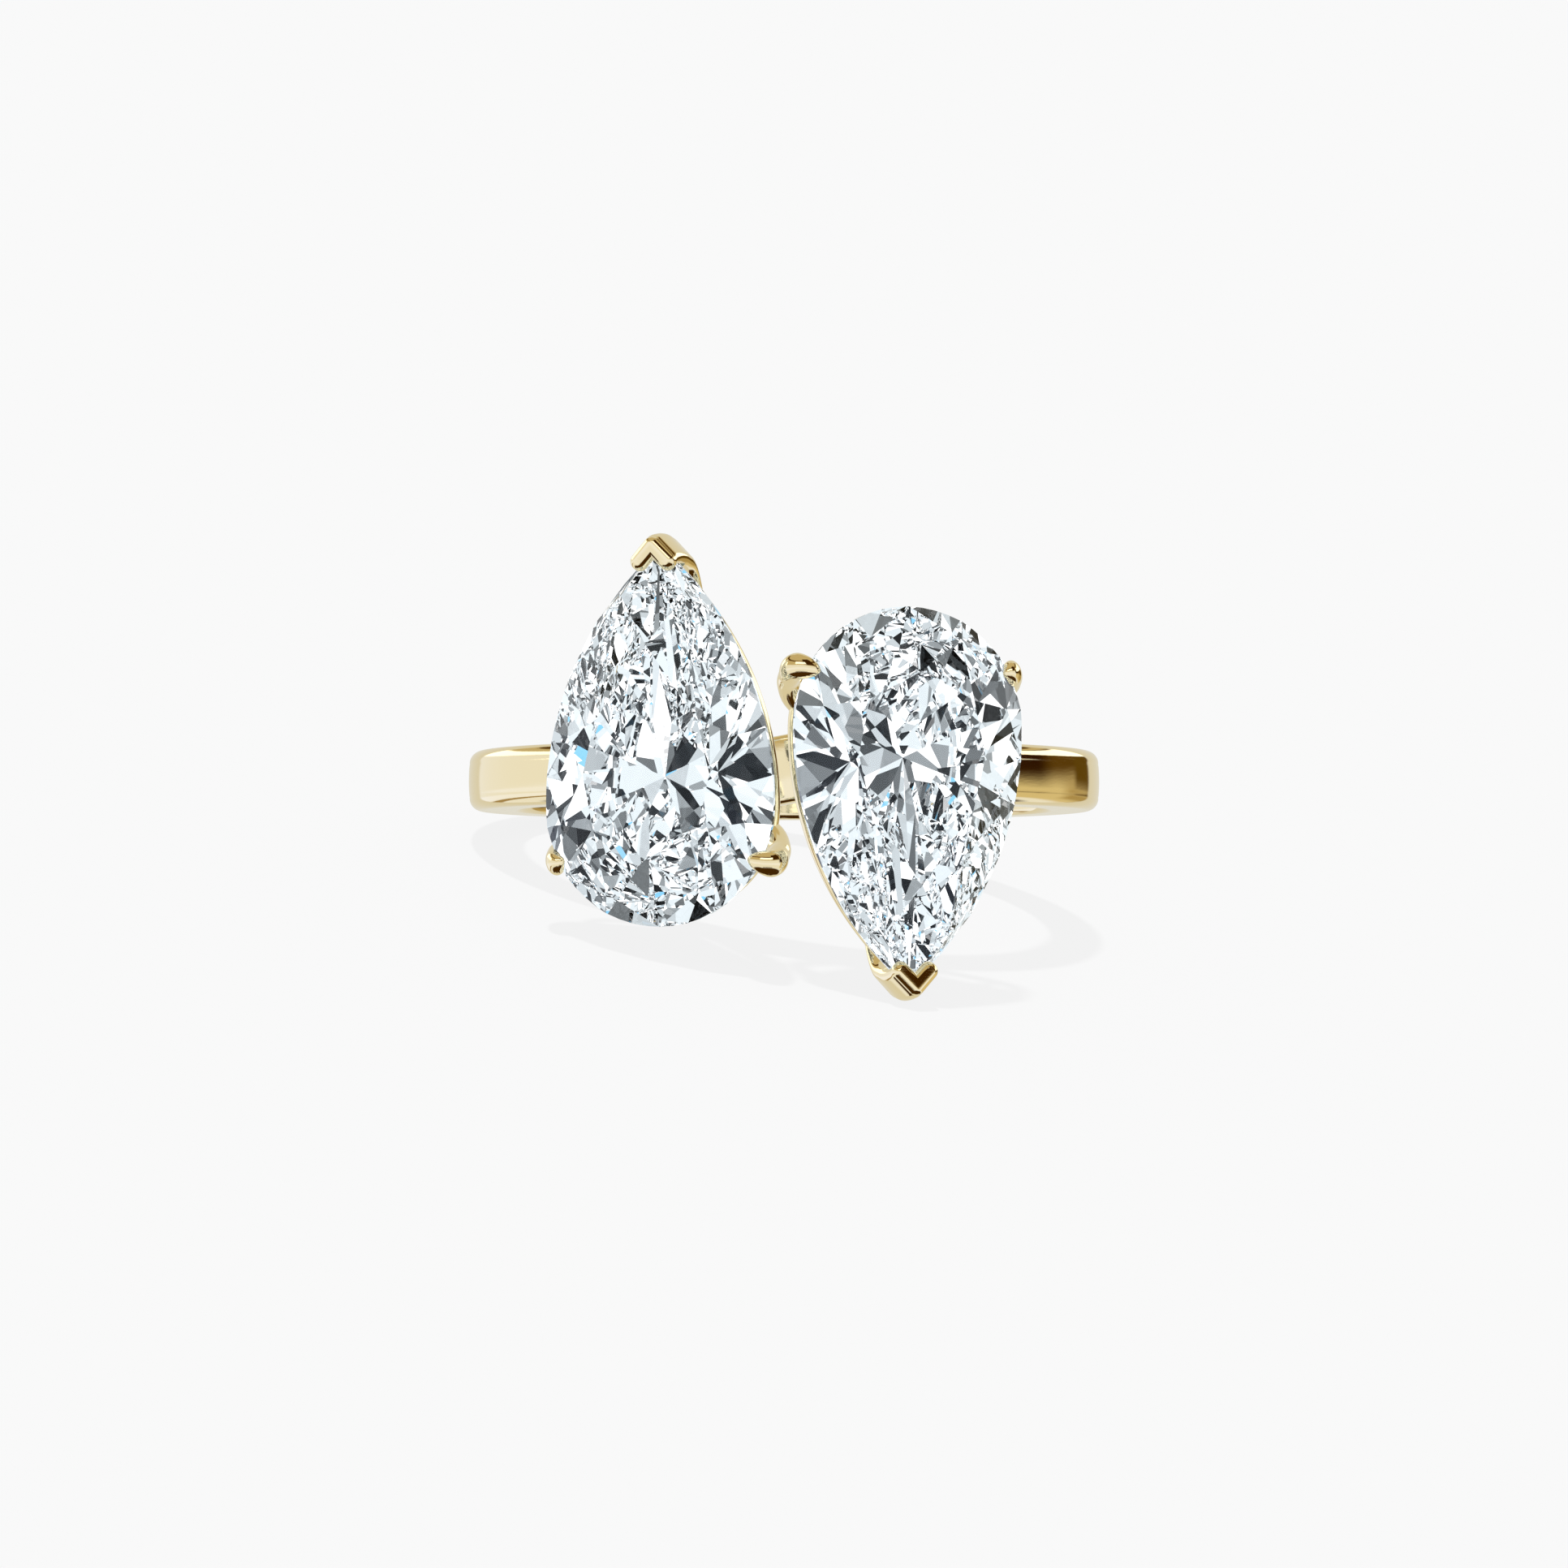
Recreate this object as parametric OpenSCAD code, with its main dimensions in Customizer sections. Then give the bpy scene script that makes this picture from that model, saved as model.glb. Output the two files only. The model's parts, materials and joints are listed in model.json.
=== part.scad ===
// Toi et moi ring. A plain band carries two pear-cut stones side by side, one with its tip
// up the finger and one with its tip down. Each stone sits in a basket of one gallery rail,
// two claw prongs at its round end and a V prong over its tip, and leans outward so that the
// pair follows the finger. All the metal is cast and soldered into one solid.
//
// Ring frame, used by the modules below: X across the finger, Y along it, Z from the centre
// of the finger hole to the stones. The finished ring lies on its side, see lay_down().

/* [Band] */
// Inside diameter of the finger hole
finger_d = 17.35; // [15:0.05:21]
// Thickness of the band, from the finger hole to its outer face
band_t = 1.7; // [1.4:0.05:2.2]
// Width of the band along the finger
band_w = 1.95; // [1.6:0.05:3]
// Rounding of the band's two outer edges
band_round = 0.4; // [0.1:0.05:0.6]
// Rounding of the two edges of the finger hole
hole_round = 0.2; // [0.05:0.05:0.4]

/* [Stones] */
// Width of a stone across its belly
stone_w = 7.6; // [6.6:0.1:8]
// Length of a stone from its round end to its tip
stone_len = 11.9; // [10.5:0.1:13]
// Distance from the round end to the culet
culet_back = 4.7; // [4.2:0.05:5.4]
// Height of the crown above the girdle
crown_h = 1.15; // [0.8:0.05:1.5]
// Depth of the pavilion below the girdle
pavilion_h = 3.15; // [2.6:0.05:3.6]
// Thickness of the girdle
girdle_t = 0.2; // [0.1:0.02:0.4]
// Size of the table as a share of the stone
table_share = 0.56; // [0.5:0.01:0.65]
// Reach of the star facets, as a share of the crown's height
star_share = 0.5; // [0.4:0.01:0.6]
// Reach of the lower girdle facets, as a share of the pavilion's depth
lower_share = 0.77; // [0.6:0.01:0.85]

/* [Head] */
// Lean of each stone away from the middle of the ring, in degrees
stone_lean = 20; // [12:0.5:24]
// Distance between the two stones' axes, at the girdles
stone_apart = 7.74; // [7.5:0.02:9]
// Distance along the finger between the two stones' axes
stone_stagger = 0.6; // [0:0.05:1.5]
// Height of the middle of a girdle above the band's outer face
girdle_h = 2.9; // [2.75:0.05:4]
// Clearance between a stone and the metal that holds it
seat_gap = 0.05; // [0.02:0.01:0.08]
// Width of the bridge between the baskets, along the finger
bridge_w = 2.15; // [1.6:0.05:3]
// Height of the bridge above the band's outer face
bridge_h = 0.75; // [0.4:0.05:1]
// Length of the bridge across the finger
bridge_len = 4.2; // [3:0.1:4.6]
// Turn of the bridge about the head's axis, in degrees
bridge_turn = 10.5; // [0:0.5:20]
// Rounding of the bridge's two top edges
bridge_round = 0.2; // [0.05:0.05:0.3]

/* [Baskets] */
// Depth of the gallery rail's top below the middle of the girdle
rail_drop = 1.35; // [0.9:0.05:1.5]
// Distance of the gallery rail's outside within the stone's outline
rail_inset = 0.42; // [0.3:0.02:0.5]
// Height of the gallery rail
rail_h = 0.5; // [0.4:0.05:0.8]
// Thickness of the gallery rail
rail_t = 0.42; // [0.3:0.02:0.5]
// Width of a claw prong at its shoulder
claw_w = 0.76; // [0.66:0.02:0.9]
// Thickness of a claw prong below the girdle
claw_t = 0.66; // [0.5:0.02:0.8]
// Reach of a claw's point over the stone
claw_reach = 0.38; // [0.3:0.02:0.5]
// Height of a claw's back above the middle of the girdle
claw_rise = 0.76; // [0.7:0.02:1]
// Angle of the claws past the belly, towards the round end, in degrees
claw_turn = 28; // [15:1:40]
// Diameter of a prong's stem where it meets the band
stem_d = 0.84; // [0.7:0.02:1]
// Depth of the point where the stems meet, below the culet
stem_drop = 0.75; // [0.6:0.05:1]
// Reach of a V prong's keel beyond the stone's tip
v_wall = 0.44; // [0.3:0.02:0.6]
// Length of a V prong's arms along their outer edge
v_arm = 1.15; // [0.9:0.05:1.5]
// Width of each arm of a V prong
v_arm_w = 0.52; // [0.4:0.02:0.7]
// Height of a V prong above the middle of the girdle
v_rise = 1; // [0.85:0.05:1.2]
// Fall of a V prong's top from its keel to its arms' ends, as a slope
v_fall = 0.25; // [0:0.05:0.35]
// Half of the angle between a V prong's arms, in degrees
v_half = 44; // [40:1:48]

/* [Rest] */
// Direction in which the lying ring is tipped up, from its right side to its head, in degrees
rest_turn = 52; // [45:0.5:60]

/* [Hidden] */
band_r = finger_d / 2 + band_t;
girdle_z = band_r + girdle_h;
belly = stone_w / 2;
tip_y = stone_len - culet_back;
belly_y = belly - culet_back;
side_rise = tip_y - belly_y;
side_r = (side_rise * side_rise + belly * belly) / (2 * belly);
foot_z = -pavilion_h - stem_drop;
mains = 8;
girdle_steps = 4;
halves = 2 * mains;
girdle_n = halves * girdle_steps;
claw_sides = 12;
row_steps = 2;

// Plain vector helpers
function unit(v) = v / norm(v);
function flat(v, z) = [v.x, v.y, z];
function mix(a, b, t) = a + (b - a) * t;
function wrap(i, n) = (i + n) % n;

// Outline of a stone. The round end is one arc, and each side is a wider arc that leaves the
// belly smoothly and meets the other at the tip. Angles run clockwise from the tip.
function ray_reach(dir, centre, r) =
    let (along = dir * centre)
    along + sqrt(along * along + r * r - centre * centre);
function right_side(a) =
    let (dir = [sin(a), cos(a)],
         side = dir * ray_reach(dir, [belly - side_r, belly_y], side_r),
         round_end = dir * ray_reach(dir, [0, belly_y], belly))
    side.y >= belly_y ? side : round_end;
function outline(a) =
    let (p = right_side(a > 180 ? 360 - a : a))
    a > 180 ? [-p.x, p.y] : p;
function outline_normal(a) =
    let (p = right_side(a > 180 ? 360 - a : a),
         n = a % 360 == 0 ? [0, 1]
           : unit(p - (p.y >= belly_y ? [belly - side_r, belly_y] : [0, belly_y])))
    a > 180 ? [-n.x, n.y] : n;

// Planes of the facets, as [normal, distance from the origin]
function plane_of(a, b, c) =
    let (n = unit(cross(b - a, c - a)))
    [n, n * a];
function height_on(plane, p) = (plane[1] - plane[0].x * p.x - plane[0].y * p.y) / plane[0].z;
function meet_at(p, q, z) =
    let (e = p[1] - p[0].z * z, f = q[1] - q[0].z * z,
         det = p[0].x * q[0].y - p[0].y * q[0].x)
    [(e * q[0].y - p[0].y * f) / det, (p[0].x * f - e * q[0].x) / det, z];

// Corners of the facets, all round the stone
function main_angle(i) = 360 / mains * wrap(i, mains);
function girdle_point(i, z) = flat(outline(main_angle(i)), z);
function table_point(i) =
    flat(outline(main_angle(i)) * table_share, girdle_t / 2 + crown_h);
function along_girdle(i) =
    let (n = outline_normal(main_angle(i)))
    [n.y, -n.x, 0];
function crown_main(i) =
    let (g = girdle_point(i, girdle_t / 2))
    plane_of(g, g + along_girdle(i), table_point(i));
function pavilion_main(i) =
    let (g = girdle_point(i, -girdle_t / 2))
    plane_of(g, g + along_girdle(i), [0, 0, -pavilion_h]);
function star_point(i) =
    meet_at(crown_main(i), crown_main(i + 1), girdle_t / 2 + crown_h * (1 - star_share));
function lower_point(i) =
    meet_at(pavilion_main(i), pavilion_main(i + 1),
            -girdle_t / 2 - (pavilion_h - girdle_t / 2) * lower_share);
function half_corner(j, z) = flat(outline(360 / halves * j), z);
// The edge of the girdle dips or rises with the flat facet that it borders
function girdle_edge(k, z, inner) =
    let (j = floor(k / girdle_steps), p = outline(360 / girdle_n * k))
    k % girdle_steps == 0 ? flat(p, z)
    : flat(p, height_on(plane_of(half_corner(j, z), half_corner(wrap(j + 1, halves), z), inner), p));

stone_points = concat(
    [for (i = [0 : mains - 1]) table_point(i)],
    [for (i = [0 : mains - 1]) star_point(i)],
    [for (k = [0 : girdle_n - 1])
        girdle_edge(k, girdle_t / 2, star_point(floor(k / girdle_steps / 2)))],
    [for (k = [0 : girdle_n - 1])
        girdle_edge(k, -girdle_t / 2, lower_point(floor(k / girdle_steps / 2)))],
    [for (i = [0 : mains - 1]) lower_point(i)],
    [[0, 0, -pavilion_h]]);
star_0 = mains;
upper_0 = star_0 + mains;
under_0 = upper_0 + girdle_n;
lower_0 = under_0 + girdle_n;
culet_0 = lower_0 + mains;
function upper(k) = upper_0 + wrap(k, girdle_n);
function under(k) = under_0 + wrap(k, girdle_n);
stone_faces = concat(
    [[for (i = [0 : mains - 1]) i]],
    [for (i = [0 : mains - 1]) [i, star_0 + i, wrap(i + 1, mains)]],
    [for (i = [0 : mains - 1])
        [i, star_0 + wrap(i - 1, mains), upper(2 * girdle_steps * i), star_0 + i]],
    [for (j = [0 : halves - 1])
        [star_0 + floor(j / 2), for (s = [0 : girdle_steps]) upper(j * girdle_steps + s)]],
    [for (k = [0 : girdle_n - 1]) [upper(k), under(k), under(k + 1), upper(k + 1)]],
    [for (j = [0 : halves - 1])
        [lower_0 + floor(j / 2),
         for (s = [girdle_steps : -1 : 0]) under(j * girdle_steps + s)]],
    [for (i = [0 : mains - 1])
        [culet_0, lower_0 + i, under(2 * girdle_steps * i), lower_0 + wrap(i - 1, mains)]]);

module cut_stone() {
    polyhedron(stone_points, stone_faces, convexity = 2);
}

// Puts a stone or its basket in place: side 0 has its tip up the finger, side 1 down it
module in_place(side) {
    rotate([0, 0, 180 * side])
        translate([-stone_apart / 2, -stone_stagger / 2, girdle_z])
            rotate([0, -stone_lean, 0])
                children();
}

// Solid through a list of rings with as many points each, in order from foot to top
module loft(rings) {
    n = len(rings[0]);
    last = len(rings) - 1;
    polyhedron(
        [for (ring = rings) each ring],
        concat(
            [[for (i = [n - 1 : -1 : 0]) i]],
            [for (r = [0 : last - 1], i = [0 : n - 1])
                [r * n + i, r * n + wrap(i + 1, n), r * n + n + i]],
            [for (r = [0 : last - 1], i = [0 : n - 1])
                [r * n + wrap(i + 1, n), r * n + n + wrap(i + 1, n), r * n + n + i]],
            [[for (i = [0 : n - 1]) last * n + i]]),
        convexity = 4);
}

// Smooth rows between the rows of a table, each column on its own
function spline(a, b, c, d, t) =
    0.5 * (2 * b + (c - a) * t + (2 * a - 5 * b + 4 * c - d) * t * t
           + (3 * b - a - 3 * c + d) * t * t * t);
function smooth_rows(rows, steps) =
    let (last = len(rows) - 1)
    [for (r = [0 : last - 1], s = [0 : steps - 1])
        spline(rows[max(r - 1, 0)], rows[r], rows[r + 1], rows[min(r + 2, last)], s / steps),
     rows[last]];

// Claw prong, in the upright plane through its stem. Columns: distance out from the stone's
// axis to the stem's middle, height above the girdle, half width, half thickness.
function claw_rows(edge) = [
    [0, foot_z, stem_d * 0.50, stem_d * 0.50],
    [edge * 0.34, foot_z * 0.80, stem_d * 0.46, stem_d * 0.42],
    [edge * 0.70, foot_z * 0.58, claw_w * 0.42, claw_t * 0.48],
    [edge + claw_t * 0.05, foot_z * 0.40, claw_w * 0.45, claw_t * 0.50],
    [edge + claw_t * 0.56, foot_z * 0.22, claw_w * 0.49, claw_t * 0.50],
    [edge + claw_t * 0.48, foot_z * 0.09, claw_w * 0.50, claw_t * 0.42],
    [edge + seat_gap + claw_t * 0.29, girdle_t / 2, claw_w * 0.49, claw_t * 0.29],
    [edge + claw_t * 0.10, claw_rise * 0.50, claw_w * 0.44, claw_t * 0.30],
    [edge - claw_reach * 0.26, claw_rise * 0.72, claw_w * 0.35, claw_t * 0.27],
    [edge - claw_reach * 0.62, claw_rise * 0.74, claw_w * 0.25, claw_t * 0.20],
    [edge - claw_reach * 0.90, claw_rise * 0.71, claw_w * 0.16, claw_t * 0.12],
    [edge - claw_reach, claw_rise * 0.69, claw_w * 0.07, claw_t * 0.05]];
function claw_ring(rows, r) =
    let (ahead = rows[min(r + 1, len(rows) - 1)] - rows[max(r - 1, 0)],
         along = unit([ahead[0], ahead[1]]),
         row = rows[r])
    [for (i = [0 : claw_sides - 1])
        let (a = 360 / claw_sides * i, side = cos(a) * row[2], out = sin(a) * row[3])
        [row[0] + along.y * out, side, row[1] - along.x * out]];

module claw_prong(mirrored) {
    seat = [0, belly_y] + belly * [cos(claw_turn), -sin(claw_turn)];
    rows = smooth_rows(claw_rows(norm(seat)), row_steps);
    mirror([mirrored, 0, 0])
        rotate([0, 0, atan2(seat.y, seat.x)])
            loft([for (r = [0 : len(rows) - 1]) claw_ring(rows, r)]);
}

// V prong. Columns: height above the girdle, distance out from the stone's axis to the keel,
// half width, thickness of the two arms.
v_keel = tip_y + v_wall;
v_wide = v_arm * sin(v_half);
// Share of the arms' thickness by which the keel is blunted
v_blunt = 0.08;
v_rows = [
    [foot_z * 1.03, stem_d * 0.50, stem_d * 0.44, stem_d * 0.56],
    [foot_z * 0.86, tip_y * 0.42, stem_d * 0.60, v_arm_w * 1.10],
    [foot_z * 0.70, tip_y * 0.68, v_wide * 0.88, v_arm_w * 1.15],
    [foot_z * 0.52, tip_y * 0.89, v_wide * 0.97, v_arm_w * 1.15],
    [foot_z * 0.34, mix(tip_y, v_keel, 0.45), v_wide, v_arm_w * 1.10],
    [foot_z * 0.17, mix(tip_y, v_keel, 0.93), v_wide, v_arm_w],
    [-girdle_t / 2, v_keel, v_wide, v_arm_w],
    [v_rise * 0.50, mix(tip_y, v_keel, 0.86), v_wide, v_arm_w],
    [v_rise * 0.91, mix(tip_y, v_keel, 0.68), v_wide, v_arm_w],
    [v_rise, mix(tip_y, v_keel, 0.48), v_wide * 0.90, v_arm_w * 0.76]];
function v_point(row, x, y) =
    [x, y, row[0] - v_fall * (row[1] - y) * max(row[0], 0) / v_rise];
function v_corner(row, along, across) =
    let (arm = row[2] / sin(v_half))
    v_point(row, max(arm * along * sin(v_half) - row[3] * across * cos(v_half), row[2] * 0.24),
            row[1] - arm * along * cos(v_half) - row[3] * across * sin(v_half));
function v_ring(row) =
    let (half = [v_corner(row, 0.28, 0), v_corner(row, 0.92, 0), v_corner(row, 1, 0.22),
                 v_corner(row, 1, 0.74), v_corner(row, 0.9, 1)])
    concat([v_point(row, 0, row[1] - row[3] * v_blunt)], half,
           [v_point(row, 0, row[1] - row[3] / sin(v_half))],
           [for (i = [len(half) - 1 : -1 : 0]) [-half[i].x, half[i].y, half[i].z]]);

// Cut that the tip of the stone needs in its V prong, wider than the stone by the clearance
module tip_seat() {
    edge = girdle_t / 2 + seat_gap;
    crown_fall = crown_h / (tip_y * (1 - table_share));
    pavilion_fall = (pavilion_h - girdle_t / 2) / tip_y;
    back = v_arm + v_arm_w + v_wall;
    intersection() {
        translate([0, 0, -pavilion_h])
            linear_extrude(pavilion_h + crown_h + v_rise)
                pear_area(-seat_gap);
        translate([-belly, 0, 0])
            rotate([90, 0, 90])
                linear_extrude(stone_w)
                    polygon([[v_keel, edge], [tip_y, edge], [tip_y - back, edge + back * crown_fall],
                             [tip_y - back, -edge - back * pavilion_fall], [tip_y, -edge],
                             [v_keel, -edge]]);
    }
}

module v_prong() {
    difference() {
        loft([for (row = v_rows) v_ring(row)]);
        tip_seat();
    }
}

// Outline of a stone as true arcs, moved in by a distance
module pear_area(inset) {
    translate([0, belly_y])
        circle(belly - inset, $fn = 96);
    intersection() {
        translate([belly - side_r, belly_y])
            circle(side_r - inset, $fn = 180);
        translate([side_r - belly, belly_y])
            circle(side_r - inset, $fn = 180);
        translate([-belly, belly_y])
            square([stone_w, side_rise]);
    }
}

module gallery_rail() {
    translate([0, 0, -rail_drop - rail_h])
        linear_extrude(rail_h)
            difference() {
                pear_area(rail_inset);
                pear_area(rail_inset + rail_t);
            }
}

// Rectangle with its lower left corner at the origin, its left corners rounded by one
// radius and its right corners by another
module edged_area(size, left, right) {
    translate([left, 0])
        square([size.x - left - right, size.y]);
    translate([0, left])
        square([size.x / 2, size.y - 2 * left]);
    translate([size.x / 2, right])
        square([size.x / 2, size.y - 2 * right]);
    for (y = [0, 1]) {
        translate([left, mix(left, size.y - left, y)])
            circle(left, $fn = 48);
        translate([size.x - right, mix(right, size.y - right, y)])
            circle(right, $fn = 48);
    }
}

module band() {
    rotate([90, 0, 0])
        rotate_extrude($fn = 180)
            translate([finger_d / 2, -band_w / 2])
                edged_area([band_t, band_w], hole_round, band_round);
}

module bridge() {
    rotate([0, 0, bridge_turn])
        translate([-bridge_len / 2, bridge_w / 2, band_r - band_t / 2])
            rotate([90, 0, 90])
                mirror([1, 0, 0])
                    linear_extrude(bridge_len)
                        bridge_area();
}

module bridge_area() {
    tall = band_t / 2 + bridge_h;
    square([bridge_w, tall - bridge_round]);
    translate([bridge_round, 0])
        square([bridge_w - 2 * bridge_round, tall]);
    for (x = [bridge_round, bridge_w - bridge_round])
        translate([x, tall - bridge_round])
            circle(bridge_round, $fn = 48);
}

module basket() {
    gallery_rail();
    v_prong();
    for (mirrored = [0, 1])
        claw_prong(mirrored);
}

module metal() {
    band();
    bridge();
    for (side = [0, 1])
        in_place(side)
            basket();
}

// The ring lies on one edge of its band and on the V prong of the stone whose tip points down,
// at the row where that prong's keel reaches out furthest below the girdle.
v_low_row = 5;
v_foot = let (row = v_rows[v_low_row]) [0, row[1] - row[3] * v_blunt, row[0]];
v_rest = [stone_apart / 2 + v_foot.z * sin(stone_lean), stone_stagger / 2 - v_foot.y,
          girdle_z + v_foot.z * cos(stone_lean)];
rest_lean =
    let (across = v_rest * [cos(rest_turn), 0, sin(rest_turn)] + band_r - band_round,
         along = v_rest.y + band_w / 2 - band_round)
    asin(-band_round / norm([across, along])) - atan2(along, across);

module lay_down() {
    rotate([0, 0, -rest_turn])
        rotate([0, -rest_lean, 0])
            rotate([0, 0, rest_turn])
                rotate([90, 0, 0])
                    children();
}

module gold_ring() {
    color("#e3c878")
        lay_down()
            metal();
}

module pear_stone(side) {
    color("#dfe8ec")
        lay_down()
            in_place(side)
                cut_stone();
}

gold_ring();
pear_stone(0);  // pear_stone_up
pear_stone(1);  // pear_stone_down
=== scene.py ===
import json
import math
from collections import namedtuple

import bmesh
import bpy
from mathutils import Matrix, Vector


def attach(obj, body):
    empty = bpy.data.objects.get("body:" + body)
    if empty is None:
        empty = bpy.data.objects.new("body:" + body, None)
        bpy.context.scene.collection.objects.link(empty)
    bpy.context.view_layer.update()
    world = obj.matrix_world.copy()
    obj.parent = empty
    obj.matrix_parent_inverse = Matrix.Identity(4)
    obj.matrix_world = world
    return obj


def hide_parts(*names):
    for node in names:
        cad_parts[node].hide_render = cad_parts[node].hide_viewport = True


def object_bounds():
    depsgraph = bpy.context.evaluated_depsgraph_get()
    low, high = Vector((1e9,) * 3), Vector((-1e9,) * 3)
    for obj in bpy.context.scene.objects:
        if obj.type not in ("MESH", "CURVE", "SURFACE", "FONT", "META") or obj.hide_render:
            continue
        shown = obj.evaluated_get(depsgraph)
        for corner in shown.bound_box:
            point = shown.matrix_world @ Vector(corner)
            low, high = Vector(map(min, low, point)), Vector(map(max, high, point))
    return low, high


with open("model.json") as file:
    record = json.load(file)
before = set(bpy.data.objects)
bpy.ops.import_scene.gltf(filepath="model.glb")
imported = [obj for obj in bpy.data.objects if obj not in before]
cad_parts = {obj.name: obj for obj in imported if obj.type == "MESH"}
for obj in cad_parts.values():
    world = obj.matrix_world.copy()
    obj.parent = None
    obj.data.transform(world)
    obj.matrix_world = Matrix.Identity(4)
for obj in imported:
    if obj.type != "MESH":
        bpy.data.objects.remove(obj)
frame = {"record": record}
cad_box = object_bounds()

# Sizes are millimetres in the ring's upright frame, as in the part's source: X across the
# finger, Y along it, Z from the centre of the finger hole to the stones.
MM = 0.001
SIDES = ("up", "down")
FINGER_BORE = next(m for m in frame["record"]["mounts"] if m["name"] == "finger_bore")
FINGER_D = 2 * FINGER_BORE["dims"]["r_mm"]

BAND_T = 1.7
BAND_W = 1.95
BAND_ROUND = 0.4
HOLE_ROUND = 0.2
BAND_CROWN = 0.03
BAND_R = FINGER_D / 2 + BAND_T
# Sections round the band, and strips across the crown of its outer face
BAND_STEPS = 360
CROWN_STEPS = 12

STONE_W = 7.6
STONE_LEN = 11.9
CULET_BACK = 4.7
CROWN_H = 1.15
PAVILION_H = 3.15
GIRDLE_T = 0.2
TABLE_SHARE = 0.56
STAR_SHARE = 0.5
LOWER_SHARE = 0.77
# Where the facet under a stone's tip breaks into four, as a share of the way from the culet to
# the tip, and how far it bulges there
KEEL_PLACE = 0.45
KEEL_RISE = 0.03

STONE_LEAN = math.radians(20)
STONE_APART = 7.74
STONE_STAGGER = 0.6
GIRDLE_Z = BAND_R + 2.9
SEAT_GAP = 0.05

BRIDGE_W = 2.15
BRIDGE_H = 0.75
BRIDGE_LEN = 4.2
BRIDGE_TURN = math.radians(10.5)
BRIDGE_ROUND = 0.2

RAIL_DROP = 1.35
RAIL_INSET = 0.42
RAIL_H = 0.5
RAIL_T = 0.42
RAIL_ROUND = 0.19

CLAW_TURN = math.radians(28)
CLAW_HEAD_TURN = math.radians(14)
# How far a claw's neck bows outward and towards the stone's tip
CLAW_BOW = (0.12, 0.6)
# Sections from one row of a claw's table to the next, and the sides of each
CLAW_STEPS = 8
CLAW_SIDES = 32
STEM_D = 0.84
STEM_DROP = 0.75

V_WALL = 0.52
V_ARM = 1.25
V_ARM_W = 0.58
V_RISE = 1.0
V_FALL = 0.25
V_HALF = math.radians(44)
V_ROUND = 0.27
# Least half width between the inner corners of a V prong's arms, as a share of the prong's
V_NOTCH = 0.24
# Sections from one row of a V prong's table to the next, and degrees between those of its top
V_STEPS = 5
V_ROUND_STEP = 15

BELLY = STONE_W / 2
TIP_Y = STONE_LEN - CULET_BACK
BELLY_Y = BELLY - CULET_BACK
SIDE_RISE = TIP_Y - BELLY_Y
SIDE_R = (SIDE_RISE**2 + BELLY**2) / (2 * BELLY)
FOOT_Z = -PAVILION_H - STEM_DROP
# Heights on a claw: where its bow is full, where that ends, and where its turn begins
BOW_Z = FOOT_Z * 0.4
BOW_END_Z = 0.4
TURN_Z = FOOT_Z * 0.45
V_KEEL = TIP_Y + V_WALL
V_WIDE = V_ARM * math.sin(V_HALF)

# The photo's camera: its focal length and the ring's centre are in pixels of the photo
PHOTO_SIZE = 1932
PHOTO_FOCAL = 9350
PHOTO_CENTRE = (966, 963)
CAMERA_DISTANCE = 250
CAMERA_DIP = math.radians(2)
SENSOR = 36

# The table's size and the camera's clipping are in metres
FLOOR_SIZE = 40
CLIP_START = 0.01
FLOOR_LIGHT = 0.947
# Shares of the table's light that the room and the lamp bring, and so of what their shadows take
ROOM_SHADE = 0.02
LAMP_SHADE = 0.06
# The lamp's beam in the ring's frame, and how wide the lamp is seen
LAMP_BEAM = (0.03, -0.94, -0.34)
LAMP_SOFT = math.radians(4)
# Light crosses many facets before it leaves a stone
BOUNCES = 64


def lying_turn():
    """Rotation from the ring's upright frame to the lying one, from the finger hole's axis."""
    axis = Vector(FINGER_BORE["axis"])
    lean = math.acos(axis.z)
    turn = Matrix.Rotation(math.atan2(axis.y, -axis.x), 4, "Z")
    upright = Matrix.Rotation(math.pi / 2, 4, "X")
    return turn.inverted() @ Matrix.Rotation(-lean, 4, "Y") @ turn @ upright


LYING = lying_turn()
TO_WORLD = LYING @ Matrix.Scale(MM, 4)


def stone_place(side):
    """From a stone's frame to the ring's: side 0 has its tip up the finger, side 1 down it."""
    half_turn = Matrix.Rotation(math.pi * side, 4, "Z")
    shift = Matrix.Translation((-STONE_APART / 2, -STONE_STAGGER / 2, GIRDLE_Z))
    return half_turn @ shift @ Matrix.Rotation(-STONE_LEAN, 4, "Y")


def mix(a, b, t):
    return a + (b - a) * t


def ease(value, low, high):
    """0 below low, 1 above high and smooth between them."""
    t = min(max((value - low) / (high - low), 0), 1)
    return t * t * (3 - 2 * t)


# Meshes

def new_object(name, points, faces, place=None):
    """Closed mesh from points in millimetres, moved by place to the ring's frame."""
    mesh = bpy.data.meshes.new(name)
    mesh.from_pydata([tuple(p) for p in points], [], faces)
    if place is not None:
        mesh.transform(place)
    bm = bmesh.new()
    bm.from_mesh(mesh)
    bmesh.ops.recalc_face_normals(bm, faces=bm.faces)
    bm.to_mesh(mesh)
    bm.free()
    obj = bpy.data.objects.new(name, mesh)
    bpy.context.scene.collection.objects.link(obj)
    return obj


def settle(obj):
    """Makes the result of the modifiers the object's own mesh."""
    bpy.context.view_layer.update()
    graph = bpy.context.evaluated_depsgraph_get()
    mesh = bpy.data.meshes.new_from_object(obj.evaluated_get(graph))
    obj.modifiers.clear()
    obj.data = mesh
    return obj


def smooth(obj, crease=40):
    """Smooth shading that keeps the edges that turn by more than the crease."""
    obj.data.shade_smooth()
    obj.data.set_sharp_from_angle(angle=math.radians(crease))
    return obj


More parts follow.
